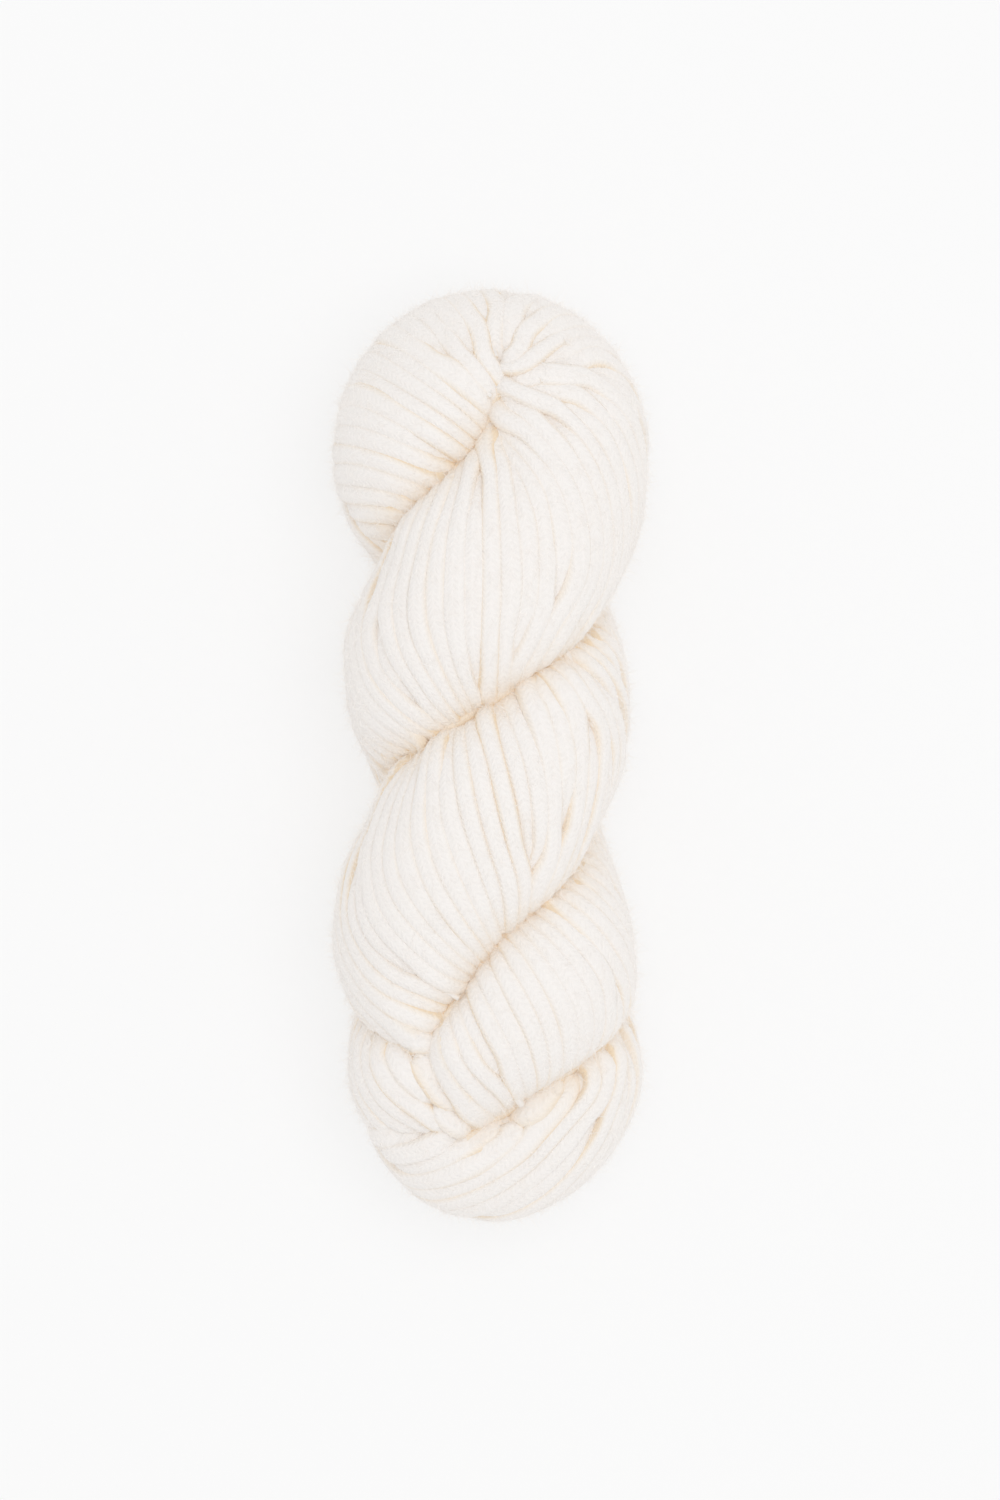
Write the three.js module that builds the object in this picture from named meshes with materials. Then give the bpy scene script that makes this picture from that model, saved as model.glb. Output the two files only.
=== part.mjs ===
// A hank of thick, soft yarn, lying on its back.
// The skein was twisted, folded in the middle and let go, so its two halves
// wound round each other. Its last end is tucked through the loop of the first.
// It is one piece: the solid is the wound form with its main twists.
// Millimetres. Length along Y with the fold at +Y, width along X, +Z up.
import * as THREE from 'three';
import { mergeVertices } from 'three/addons/utils/BufferGeometryUtils.js';

// ---- driving sizes ----
const HALF_LENGTH = 130;      // from the middle to the fold, and to the end loop
const FOLD_CENTRE_Y = 85;     // where the round fold begins
const LOOP_CENTRE_Y = -82;    // where the round end loop begins
const AXIS_HEIGHT = 33;       // the two halves twist round this line
const HALF_TURN_WIDTH = 27;   // from a crease to the crown of a turn
const CREASE_DEPTH = 10.5;    // from the crown's level down to a crease
const SECTION_POWER = 2.25;   // 2 is an oval section, more is fuller
const FIRST_COLUMNS = 34;     // grid round the half that ends in the loop
const SECOND_COLUMNS = 26;    // grid round the half whose end is tucked in
const COLUMNS = FIRST_COLUMNS + SECOND_COLUMNS;
const BODY_ROWS = 46;         // grid along the twisted body
const END_ROWS = 9;           // grid over each round end
const DEGREE = Math.PI / 180;

// Reach of the wound form from its axis: to the left and right, up and down.
const REACH = [
  { y: 130, left: 44.0, right: 43.8, up: 33.0, down: 31.0 },
  { y: 85, left: 44.0, right: 44.0, up: 36.0, down: 34.5 },
  { y: 48, left: 43.2, right: 43.0, up: 41.0, down: 35.5 },
  { y: 15, left: 42.4, right: 41.0, up: 40.0, down: 36.0 },
  { y: -18, left: 43.6, right: 40.6, up: 41.0, down: 36.0 },
  { y: -50, left: 44.6, right: 41.4, up: 39.0, down: 35.5 },
  { y: -82, left: 41.4, right: 42.6, up: 34.0, down: 35.0 },
  { y: -106, left: 40.6, right: 42.6, up: 24.0, down: 33.5 },
  { y: -130, left: 40.6, right: 42.6, up: 20.0, down: 30.0 },
];

// Creases between the turns. turn is the angle round the axis in degrees:
// 0 is the right side, 90 the top, 180 the left side, 270 the underside.
const CREASE_FROM_TOP_OF_FOLD = [
  { y: 100, turn: 88, depth: 0.0 },
  { y: 93, turn: 90, depth: 0.7 },
  { y: 85, turn: 98, depth: 1.0 },
  { y: 72, turn: 125, depth: 1.0 },
  { y: 60, turn: 155, depth: 1.0 },
  { y: 50, turn: 182, depth: 1.0 },
  { y: 34, turn: 224, depth: 1.0 },
  { y: 15, turn: 270, depth: 1.0 },
  { y: -4, turn: 316, depth: 1.0 },
  { y: -20, turn: 362, depth: 1.0 },
  { y: -38, turn: 415, depth: 1.0 },
  { y: -54, turn: 450, depth: 1.0 },
  { y: -66, turn: 467, depth: 0.9 },
  { y: -77, turn: 482, depth: 0.6 },
  { y: -90, turn: 478, depth: 0.3 },
  { y: -104, turn: 470, depth: 0.2 },
];
const CREASE_FROM_UNDER_THE_FOLD = [
  { y: 100, turn: 268, depth: 0.0 },
  { y: 93, turn: 270, depth: 0.7 },
  { y: 84, turn: 278, depth: 1.0 },
  { y: 62, turn: 318, depth: 1.0 },
  { y: 42, turn: 361, depth: 1.0 },
  { y: 27, turn: 412, depth: 1.0 },
  { y: 15, turn: 450, depth: 1.0 },
  { y: 5, turn: 483, depth: 1.0 },
  { y: -10, turn: 541, depth: 1.0 },
  { y: -30, turn: 590, depth: 1.0 },
  { y: -50, turn: 640, depth: 0.9 },
  { y: -66, turn: 700, depth: 0.4 },
  { y: -77, turn: 735, depth: 0.8 },
  { y: -88, turn: 762, depth: 1.1 },
  { y: -97, turn: 790, depth: 1.0 },
  { y: -103, turn: 818, depth: 0.6 },
  { y: -108, turn: 850, depth: 0.0 },
];
const CREASE_BESIDE_THE_LOOP = [
  { y: -68, turn: 205, depth: 0.0 },
  { y: -71, turn: 184, depth: 0.4 },
  { y: -77, turn: 156, depth: 0.5 },
  { y: -81, turn: 130, depth: 0.4 },
];
const CREASES = [CREASE_FROM_TOP_OF_FOLD, CREASE_FROM_UNDER_THE_FOLD, CREASE_BESIDE_THE_LOOP];

// Reads a column of a table at y, with a smooth curve through its rows.
function readTable(rows, column, y) {
  const last = rows.length - 1;
  if (y >= rows[0].y) return rows[0][column];
  if (y <= rows[last].y) return rows[last][column];
  let i = 0;
  while (y < rows[i + 1].y) i += 1;
  const span = rows[i + 1].y - rows[i].y;
  const t = (y - rows[i].y) / span;
  const slope = (k) => {
    const a = rows[Math.max(k - 1, 0)];
    const b = rows[Math.min(k + 1, last)];
    return (b[column] - a[column]) / (b.y - a.y);
  };
  const t2 = t * t;
  const t3 = t2 * t;
  return (2 * t3 - 3 * t2 + 1) * rows[i][column] + (t3 - 2 * t2 + t) * span * slope(i)
    + (3 * t2 - 2 * t3) * rows[i + 1][column] + (t3 - t2) * span * slope(i + 1);
}

// How far y lies into a round end: 0 on the body, 1 at the tip.
function endShare(y) {
  if (y > FOLD_CENTRE_Y) return (y - FOLD_CENTRE_Y) / (HALF_LENGTH - FOLD_CENTRE_Y);
  if (y < LOOP_CENTRE_Y) return (LOOP_CENTRE_Y - y) / (HALF_LENGTH + LOOP_CENTRE_Y);
  return 0;
}

// Distance from the axis to the smooth outer form, in the direction turn.
function outerReach(turn, y) {
  const side = Math.cos(turn);
  const height = Math.sin(turn);
  const wide = readTable(REACH, side < 0 ? 'left' : 'right', y);
  const tall = readTable(REACH, height < 0 ? 'down' : 'up', y);
  const share = Math.min(endShare(y), 1);
  const inside = (r) => {
    const flat = ((r * side) / wide) ** 2 + share * share;
    return flat ** (SECTION_POWER / 2) + Math.abs((r * height) / tall) ** SECTION_POWER < 1;
  };
  let low = 0;
  let high = 60;
  for (let step = 0; step < 30; step += 1) {
    const middle = (low + high) / 2;
    if (inside(middle)) low = middle;
    else high = middle;
  }
  return low;
}

function outerPoint(turn, y, inset) {
  const r = Math.max(outerReach(turn, y) - inset, 0);
  return new THREE.Vector3(r * Math.cos(turn), y, AXIS_HEIGHT + r * Math.sin(turn));
}

// Each crease as short straight steps over the outer form.
const creaseSteps = CREASES.map((rows) => {
  const points = [];
  const from = rows[0].y;
  const to = rows[rows.length - 1].y;
  const count = Math.ceil((from - to) / 2);
  for (let i = 0; i <= count; i += 1) {
    const y = from + ((to - from) * i) / count;
    const at = outerPoint(readTable(rows, 'turn', y) * DEGREE, y, 0);
    points.push({ at, depth: readTable(rows, 'depth', y) });
  }
  return points;
});

// How deep the surface sinks at a point: rounded turns that meet in a crease.
const step = new THREE.Line3();
const nearest = new THREE.Vector3();
function creaseInset(point) {
  let inset = 0;
  for (const points of creaseSteps) {
    for (let i = 0; i + 1 < points.length; i += 1) {
      step.set(points[i].at, points[i + 1].at);
      const t = step.closestPointToPointParameter(point, true);
      step.at(t, nearest);
      const away = nearest.distanceTo(point) / HALF_TURN_WIDTH;
      if (away < 1) {
        const depth = points[i].depth + (points[i + 1].depth - points[i].depth) * t;
        const sink = 1 - Math.sqrt(1 - (1 - away) ** 2);
        inset = Math.max(inset, CREASE_DEPTH * depth * sink);
      }
    }
  }
  return inset;
}

// The grid's columns run along both main creases, evenly spread between them.
function columnTurn(j, y) {
  const held = Math.max(Math.min(y, 93), -93);
  const first = readTable(CREASE_FROM_TOP_OF_FOLD, 'turn', held);
  const second = readTable(CREASE_FROM_UNDER_THE_FOLD, 'turn', held);
  if (j < FIRST_COLUMNS) return first + ((second - first) * j) / FIRST_COLUMNS;
  return second + ((first + 360 - second) * (j - FIRST_COLUMNS)) / SECOND_COLUMNS;
}

function rowPlaces() {
  const places = [];
  const foldLength = HALF_LENGTH - FOLD_CENTRE_Y;
  const loopLength = HALF_LENGTH + LOOP_CENTRE_Y;
  for (let i = 1; i < END_ROWS; i += 1) {
    const a = (i / END_ROWS) * 90 * DEGREE;
    places.push(FOLD_CENTRE_Y + foldLength * Math.cos(a));
  }
  for (let i = 0; i <= BODY_ROWS; i += 1) {
    places.push(FOLD_CENTRE_Y + ((LOOP_CENTRE_Y - FOLD_CENTRE_Y) * i) / BODY_ROWS);
  }
  for (let i = END_ROWS - 1; i >= 1; i -= 1) {
    const a = (i / END_ROWS) * 90 * DEGREE;
    places.push(LOOP_CENTRE_Y - loopLength * Math.cos(a));
  }
  return places;
}

function hankGeometry() {
  const places = rowPlaces();
  const positions = [];
  for (const y of places) {
    for (let j = 0; j < COLUMNS; j += 1) {
      const turn = columnTurn(j, y) * DEGREE;
      const point = outerPoint(turn, y, creaseInset(outerPoint(turn, y, 0)));
      positions.push(point.x, point.y, Math.max(point.z, 0));
    }
  }
  const foldTip = positions.length / 3;
  positions.push(0, HALF_LENGTH, AXIS_HEIGHT);
  positions.push(0, -HALF_LENGTH, AXIS_HEIGHT);
  const index = [];
  const apart = (a, b) => Math.hypot(
    positions[3 * a] - positions[3 * b],
    positions[3 * a + 1] - positions[3 * b + 1],
    positions[3 * a + 2] - positions[3 * b + 2],
  );
  for (let i = 0; i + 1 < places.length; i += 1) {
    for (let j = 0; j < COLUMNS; j += 1) {
      const a = i * COLUMNS + j;
      const b = i * COLUMNS + ((j + 1) % COLUMNS);
      const c = a + COLUMNS;
      const d = b + COLUMNS;
      if (apart(a, d) < apart(b, c)) index.push(a, b, d, a, d, c);
      else index.push(a, b, c, b, d, c);
    }
  }
  const lastRow = (places.length - 1) * COLUMNS;
  for (let j = 0; j < COLUMNS; j += 1) {
    const next = (j + 1) % COLUMNS;
    index.push(foldTip, next, j);
    index.push(foldTip + 1, lastRow + j, lastRow + next);
  }
  const geometry = new THREE.BufferGeometry();
  geometry.setAttribute('position', new THREE.Float32BufferAttribute(positions, 3));
  geometry.setIndex(index);
  const merged = mergeVertices(geometry, 1e-3);
  merged.computeBoundingBox();
  const { min, max } = merged.boundingBox;
  merged.translate(-(min.x + max.x) / 2, -(min.y + max.y) / 2, -min.z);
  merged.computeVertexNormals();
  return merged;
}

const yarn = new THREE.MeshStandardMaterial({ color: 0xf3ece3, roughness: 0.95, metalness: 0 });
const hank = new THREE.Mesh(hankGeometry(), yarn);
hank.name = 'hank';

const group = new THREE.Group();
group.name = 'yarn_hank';
group.add(hank);

export default group;
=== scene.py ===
# %% [markdown]
# # A twisted hank of thick, soft yarn
#
# On the real object one long yarn is wound into a skein. The skein is twisted, folded in the
# middle and let go, so that its two halves wind round each other. The last end is tucked
# through the loop at the other end. The hank lies on its back on a pale table.
#
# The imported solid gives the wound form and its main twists. This lesson dresses that form
# with the yarn itself: strand beside strand, each one coming out of a crease, running over
# the crown of a turn and going under at the next crease.

# %% Load the solid
import itertools
import math
import random
import time
from collections import deque

import bmesh
import bpy
import numpy as np
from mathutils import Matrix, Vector
from mathutils.kdtree import KDTree


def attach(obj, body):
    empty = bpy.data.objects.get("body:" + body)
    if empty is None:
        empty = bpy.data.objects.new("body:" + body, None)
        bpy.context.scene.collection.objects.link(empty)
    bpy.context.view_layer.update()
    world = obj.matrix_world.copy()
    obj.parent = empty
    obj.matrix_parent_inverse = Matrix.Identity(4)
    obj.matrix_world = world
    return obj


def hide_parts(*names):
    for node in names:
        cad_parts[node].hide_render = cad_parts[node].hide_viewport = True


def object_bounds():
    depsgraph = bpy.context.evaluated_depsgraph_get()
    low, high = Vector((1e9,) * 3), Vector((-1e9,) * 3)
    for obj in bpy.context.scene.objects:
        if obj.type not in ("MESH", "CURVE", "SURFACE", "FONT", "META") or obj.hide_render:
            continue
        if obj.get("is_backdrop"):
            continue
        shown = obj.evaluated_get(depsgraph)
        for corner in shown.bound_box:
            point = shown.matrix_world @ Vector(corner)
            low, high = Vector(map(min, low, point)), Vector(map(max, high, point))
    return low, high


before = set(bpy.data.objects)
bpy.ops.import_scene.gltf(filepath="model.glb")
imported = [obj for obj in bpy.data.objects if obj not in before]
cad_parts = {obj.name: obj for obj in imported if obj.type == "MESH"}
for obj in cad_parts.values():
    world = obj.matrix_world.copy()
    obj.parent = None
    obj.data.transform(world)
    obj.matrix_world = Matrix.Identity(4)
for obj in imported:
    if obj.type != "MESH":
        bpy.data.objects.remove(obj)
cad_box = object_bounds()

MM = 0.001
started = time.time()
print("solid", [[round(v / MM, 1) for v in corner] for corner in cad_box])

# %% [markdown]
# ## The wound form
#
# The strands need a surface to lie on. The solid's mesh could be sampled, but its facets
# would show in every strand. So the same few sizes are stated again here, as tables that are
# read with a smooth curve. REACH says how far the form reaches from its axis. WAIST says by
# how much its sides are drawn in where the creases pass them.

# %% Sizes of the wound form, in millimetres
HALF_LENGTH = 130.0
FOLD_Y = 85.0
LOOP_Y = -82.0
AXIS_HEIGHT = 33.0
ROUNDNESS = 2.25

REACH = {
    "y": [130, 85, 48, 15, -18, -50, -82, -106, -130],
    "left": [44.0, 44.0, 43.2, 42.4, 43.6, 44.6, 41.4, 40.6, 40.6],
    "right": [43.8, 44.0, 43.0, 41.0, 40.6, 41.4, 42.6, 42.6, 42.6],
    "up": [33.0, 36.0, 41.0, 40.0, 41.0, 39.0, 34.0, 24.0, 20.0],
    "down": [31.0, 34.5, 35.5, 36.0, 36.0, 35.5, 35.0, 33.5, 30.0],
}
WAIST = {
    "y": [90, 76, 65, 54, 43, 32, 20, 9, -2, -18, -30, -46, -60, -74, -88, -100],
    "left": [0, 0, 2.2, 6.0, 3.8, 1.4, 1.6, 2.6, 5.3, 6.3, 3.4, 0.6, 0, 0, 0, 0],
    "right": [0, 0, 1.1, 2.8, 4.0, 3.1, 2.4, 1.8, 2.2, 4.4, 4.2, 2.0, 0, -1.8, -1.0, 0],
}

# %% [markdown]
# A crease winds round the axis where two parts of the hank meet. `turn` is the angle round
# the axis in degrees: 0 right, 90 top, 180 left, 270 underside. `depth` is the share of the
# full depth. Two long creases part the two halves. Two short ones shape the end loop.

# %% Creases
CREASE_FROM_TOP_OF_FOLD = {
    "y": [109, 104, 99, 93, 85, 72, 60, 50, 34, 15, -4, -20, -38, -54, -66, -77, -90, -104],
    "turn": [80, 84, 87, 91, 99, 125, 155, 182, 224, 270, 316, 362, 415, 450, 467, 482, 478, 470],
    "depth": [0.15, 0.3, 0.5, 0.8, 1, 1, 1, 1, 1, 1, 1, 1, 1, 1, 1, 0.7, 0.4, 0.35],
}
CREASE_FROM_UNDER_THE_FOLD = {
    "y": [109, 104, 99, 93, 84, 62, 42, 27, 15, 5, -10, -30, -50, -66, -77, -88, -97, -103, -107],
    "turn": [260, 264, 267, 270, 279, 318, 361, 412, 450, 483, 541, 590, 640, 700, 735, 762,
             790, 818, 842],
    "depth": [0.15, 0.3, 0.5, 0.8, 1, 1, 1, 1, 1, 1, 1, 1, 0.9, 0.6, 0.8, 1, 1, 0.8, 0.3],
}
CREASE_ABOVE_THE_LOOP = {
    "y": [-68, -71, -77, -81],
    "turn": [205, 184, 156, 130],
    "depth": [0.3, 0.5, 0.6, 0.5],
}
CREASE_INSIDE_THE_LOOP = {
    "y": [-81, -90, -97, -103, -104, -104],
    "turn": [131, 129, 127, 126, 150, 190],
    "depth": [0.45, 0.3, 0.2, 0.2, 0.15, 0.1],
}
EVERY_CREASE = [
    CREASE_FROM_TOP_OF_FOLD,
    CREASE_FROM_UNDER_THE_FOLD,
    CREASE_ABOVE_THE_LOOP,
    CREASE_INSIDE_THE_LOOP,
]

# %% Read a table with a smooth curve
def smooth_curve(knots, values, wanted):
    """A smooth curve through the knots, which rise, read at each wanted place."""
    knots = np.asarray(knots, float)
    values = np.asarray(values, float)
    wanted = np.clip(np.asarray(wanted, float), knots[0], knots[-1])
    slopes = np.gradient(values, knots)
    slopes[1:-1] = (values[2:] - values[:-2]) / (knots[2:] - knots[:-2])
    i = np.clip(np.searchsorted(knots, wanted) - 1, 0, len(knots) - 2)
    span = knots[i + 1] - knots[i]
    t = (wanted - knots[i]) / span
    start = (2 * t**3 - 3 * t**2 + 1) * values[i] + (t**3 - 2 * t**2 + t) * span * slopes[i]
    end = (3 * t**2 - 2 * t**3) * values[i + 1] + (t**3 - t**2) * span * slopes[i + 1]
    return start + end


TABLE_END = 140.0
FINE_Y = np.arange(-TABLE_END, TABLE_END + 1.0, 1.0)


def along_hank(table, name):
    """A column of a table whose rows go down the hank, read at every millimetre of FINE_Y."""
    return smooth_curve(table["y"][::-1], table[name][::-1], FINE_Y)


fine = {name: along_hank(REACH, name) for name in ("up", "down")}
for name in ("left", "right"):
    fine[name] = along_hank(REACH, name) - along_hank(WAIST, name)
fine["first"] = along_hank(CREASE_FROM_TOP_OF_FOLD, "turn")
fine["second"] = along_hank(CREASE_FROM_UNDER_THE_FOLD, "turn")
fine = {name: column.tolist() for name, column in fine.items()}
print("widest", round(max(fine["left"]) + max(fine["right"]), 1), "mm")


def read(name, y):
    """A column of the fine table at y."""
    place = min(max(y + TABLE_END, 0.0), 2 * TABLE_END - 0.001)
    i = int(place)
    return fine[name][i] + (fine[name][i + 1] - fine[name][i]) * (place - i)


# %% The smooth outer form
def end_share(y):
    """How far y lies into a round end, with its slope: 0 on the body, 1 at the tip."""
    if y > FOLD_Y:
        return (y - FOLD_Y) / (HALF_LENGTH - FOLD_Y), 1 / (HALF_LENGTH - FOLD_Y)
    if y < LOOP_Y:
        return (LOOP_Y - y) / (HALF_LENGTH + LOOP_Y), -1 / (HALF_LENGTH + LOOP_Y)
    return 0.0, 0.0


def level_and_slope(p):
    """1 on the outer form, less inside it, and the direction in which it grows."""
    x, y, z = p
    z = z - AXIS_HEIGHT
    wide = read("left" if x < 0 else "right", y)
    tall = read("down" if z < 0 else "up", y)
    share, share_slope = end_share(y)
    flat = (x / wide) ** 2 + share * share + 1e-12
    rise = abs(z / tall)
    level = flat ** (ROUNDNESS / 2) + rise**ROUNDNESS
    common = ROUNDNESS * flat ** (ROUNDNESS / 2 - 1)
    slope = (common * x / wide**2, common * share * share_slope,
             ROUNDNESS * rise ** (ROUNDNESS - 1) / tall * (1 if z >= 0 else -1))
    return level, np.array(slope)


def onto_form(p):
    """Moves a point onto the outer form, in or out from the axis."""
    for _ in range(2):
        level, _slope = level_and_slope(p)
        scale = level ** (-1 / ROUNDNESS)
        middle = min(max(p[1], LOOP_Y), FOLD_Y)
        p = np.array((p[0] * scale, middle + (p[1] - middle) * scale,
                      AXIS_HEIGHT + (p[2] - AXIS_HEIGHT) * scale))
    return p


def outward(p):
    """The unit vector that points straight out of the form."""
    slope = level_and_slope(p)[1]
    return slope / np.linalg.norm(slope)


FAR_OUT = 60.0
HALVINGS = 24


def reach_along(start, ray):
    """How far the form reaches from a point inside it along a ray, found by halving."""
    low, high = 0.0, FAR_OUT
    for _ in range(HALVINGS):
        middle = (low + high) / 2
        if level_and_slope(start + ray * middle)[0] < 1:
            low = middle
        else:
            high = middle
    return low


def point_at(turn, y):
    """The point of the outer form at an angle round the axis."""
    angle = math.radians(turn)
    ray = np.array((math.cos(angle), 0.0, math.sin(angle)))
    axis = np.array((0.0, y, AXIS_HEIGHT))
    return axis + ray * reach_along(axis, ray)


def above_or_below(x, y, side):
    """The point of the form straight above x, y where side is 1, or below where it is -1."""
    inside = np.array((x, y, AXIS_HEIGHT))
    ray = np.array((0.0, 0.0, side))
    return inside + ray * reach_along(inside, ray)


# %% Where the creases run
def crease_rows(crease, step):
    """y, turn and depth along a crease, this often between its stated places."""
    steps = len(crease["y"])
    places = np.arange(0, steps - 1 + 1e-6, step)
    return zip(*(smooth_curve(range(steps), crease[name], places)
                 for name in ("y", "turn", "depth")))


crease_points = []
crease_depths = []
crease_spans = []
for crease in EVERY_CREASE:
    first = len(crease_points)
    for y, turn, depth in crease_rows(crease, 0.08):
        crease_points.append(point_at(turn, y))
        crease_depths.append(depth)
    crease_spans.append((first, len(crease_points)))
crease_points = np.array(crease_points)
crease_depths = np.array(crease_depths)
print("crease points", len(crease_points))


def nearest_crease(p):
    """Distance to the nearest crease, and that crease's depth there."""
    gaps = np.linalg.norm(crease_points - p, axis=1)
    i = int(np.argmin(gaps))
    return gaps[i], crease_depths[i]


# %% [markdown]
# ## Which way the yarn runs
#
# A strand doesn't follow its half of the hank. The skein was twisted the other way first, so
# on the body the strands run nearly straight along the hank, fan out where their half comes
# out of a crease, and draw together where it goes under. At the fold they spread from the
# pinch like water from a fountain, and at the end loop they sweep round the bend. The lean
# was judged at many places and is stated in short tables: degrees from straight
# down, seen from above, with a lean to the right counted up.

# %% Leans, by half of the hank and by place: x, y, lean
FOLD_LEAN = [
    ("loop_half", [(-35, 105, 78), (-40, 88, 88), (-22, 96, 58), (-11, 90, 48), (-32, 82, 70),
                   (-19, 78, 60), (-38, 72, 85), (-25, 69, 72), (-33, 63, 80), (-11, 106, 50),
                   (-22, 108, 60)]),
    ("both", [(-14, 119, 42), (-5, 112, 28), (1, 118, 2), (5, 118, -10), (10, 114, -45),
              (17, 115, -58), (25, 117, -78)]),
    ("tucked_half", [(31, 111, 80), (13, 108, -65), (17, 103, 90), (24, 98, 55), (31, 88, 25),
                     (37, 100, 35), (13, 92, 48), (23, 81, 25), (6, 94, 60), (10, 87, 25),
                     (0, 83, 0), (-10, 76, -8), (-18, 69, -15), (39, 76, 8)]),
]
BODY_LEAN = [
    ("tucked_half", [(-23, 64, -20), (-30, 47, -12), (-38, 29, 5), (-28, 36, 3), (-18, 50, 5),
                     (-21, 22, 35), (-32, 19, 38), (-30, 5, 48), (-8, 50, 7), (-10, 29, 14),
                     (2, 50, 4), (2, 29, -1), (12, 57, 2), (9, 33, -9), (24, 57, 4),
                     (22, 41, -22), (16, 29, -42), (32, 57, 2), (29, 43, -35)]),
    ("loop_half", [(28, 28, 50), (35, 21, 30), (26, 16, 14), (18, 12, 12), (8, 8, 22),
                   (0, 2, 22), (29, -5, -2), (20, -5, 12), (-14, -9, 10), (-23, -12, -5),
                   (-31, -14, -25), (-30, -28, 5), (-39, -38, 5), (-19, -31, 22),
                   (-8, -28, 24), (3, -24, 22), (12, -24, 18), (22, -17, 0), (22, -25, -30),
                   (14, -35, -12), (4, -38, 10), (-5, -45, 32), (-16, -49, 40),
                   (-30, -49, 38), (-19, -62, 62), (-33, -63, 48), (-26, -73, 62),
                   (-40, -56, 25)]),
    ("tucked_half", [(28, -37, 48), (34, -46, 28), (22, -46, 45), (31, -59, 30),
                     (16, -50, 42), (22, -63, 28), (30, -73, 8), (12, -61, 22),
                     (17, -77, 18), (2, -63, 30), (8, -77, 28), (-5, -70, 22),
                     (2, -84, 35), (-11, -73, 12), (-10, -84, 30), (-2, -92, 50),
                     (-16, -87, 5), (-12, -98, 30), (-5, -104, 75)]),
]
LOOP_LEAN = [
    ("loop", [(36, -87, -30), (29, -94, -38), (20, -99, -46), (11, -102, -56), (-2, -105, -68),
              (-16, -107, -78), (-23, -111, -78), (-16, -116, -68), (-5, -113, -60),
              (5, -111, -50), (16, -110, -36), (12, -120, -50), (26, -111, -30),
              (33, -104, -22), (38, -90, -10), (41, -77, 3), (-2, -123, -60)]),
    ("loop_left", [(-37, -81, 12), (-29, -87, 35), (-33, -92, 30), (-26, -97, 42),
                   (-35, -102, 30)]),
    ("loop_inside", [(-20, -85, -5), (-21, -96, 25), (-17, -102, 65)]),
]

# %% Lift the leans onto the form, front and back
FLATTEST = 0.15
FOLD_BENDS_ABOUT = 92.0
LOOP_BENDS_ABOUT = -84.0
HALVES_FROM_Y = -72
HALVES_TO_Y = 62


def lifted(p, seen):
    """The direction on the form at p that looks like this one from above."""
    n = outward(p)
    up = n[2] if abs(n[2]) > FLATTEST else FLATTEST * (1 if n[2] >= 0 else -1)
    d = np.array((seen[0], seen[1], -(n[0] * seen[0] + n[1] * seen[1]) / up))
    return d / np.linalg.norm(d)


def seen_from_above(lean):
    """The direction of a lean as seen from above."""
    return np.array((math.sin(math.radians(lean)), -math.cos(math.radians(lean)), 0.0))


def each_lean(table):
    """Part, x, y and direction of every lean of a table."""
    for part, leans in table:
        for x, y, lean in leans:
            yield part, x, y, seen_from_above(lean)


def round_an_end(table, centre_y):
    """Rows for an end: below, a strand comes back as it went in, the other way round."""
    rows = []
    for part, x, y, seen in each_lean(table):
        top = above_or_below(x, y, 1)
        rows.append((part, top, lifted(top, seen)))
        out = np.array((x, y - centre_y, 0.0))
        out = out / max(np.linalg.norm(out), 1e-6)
        along = np.array((-out[1], out[0], 0.0))
        partner = along * seen.dot(along) - out * seen.dot(out)
        under = above_or_below(x, y, -1)
        rows.append(("under", under, lifted(under, partner)))
    return rows


def half_turn(table):
    """Rows for the body: the two halves look alike when the hank is turned over."""
    other = {"loop_half": "tucked_half", "tucked_half": "loop_half"}
    rows = []
    for part, x, y, seen in each_lean(table):
        top = above_or_below(x, y, 1)
        way = lifted(top, seen)
        rows.append((part, top, way))
        if HALVES_FROM_Y < y < HALVES_TO_Y:
            turned = np.array((-top[0], top[1], 2 * AXIS_HEIGHT - top[2]))
            rows.append((other[part], onto_form(turned), way * (-1, 1, -1)))
    return rows


lay_rows = (round_an_end(FOLD_LEAN, FOLD_BENDS_ABOUT) + half_turn(BODY_LEAN)
            + round_an_end(LOOP_LEAN, LOOP_BENDS_ABOUT))
lay_points = np.array([row[1] for row in lay_rows])
lay_ways = np.array([row[2] for row in lay_rows])
lay_spreads = lay_ways[:, :, None] * lay_ways[:, None, :]
SEES = {
    "fold": ("both", "under", "loop_half", "tucked_half"),
    "loop_half": ("both", "under", "loop_half"),
    "tucked_half": ("both", "under", "tucked_half"),
    "loop": ("loop", "under"),
    "loop_left": ("loop_left",),
    "loop_inside": ("loop_inside", "tucked_half"),
}
lay_masks = {part: np.array([row[0] in seen for row in lay_rows], float)
             for part, seen in SEES.items()}
print("rows of the lay", len(lay_rows))

# %% Which part of the hank a point belongs to
FOLD_ABOVE_Y = 97.0
SECOND_CREASE_ENDS_Y = -90
LOOP_BELOW_Y = -107
LOOP_STARTS = {
    "turn": [0, 129, 130, 156, 184, 205, 250, 360],
    "y": [-68, -80, -81, -77, -71, -68, -64, -64],
}
LOOP_OPENS = {"y": [-104, -97, -81], "turn": [126, 127, 131]}
OPENING_LOWEST_Z = AXIS_HEIGHT - 12
OPENING_LOWEST_Y = -104
OPENING_TURNS = (60, 200)


def turn_of(p):
    """The angle of a point round the axis, from 0 to 360 degrees."""
    return math.degrees(math.atan2(p[2] - AXIS_HEIGHT, p[0])) % 360


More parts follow.
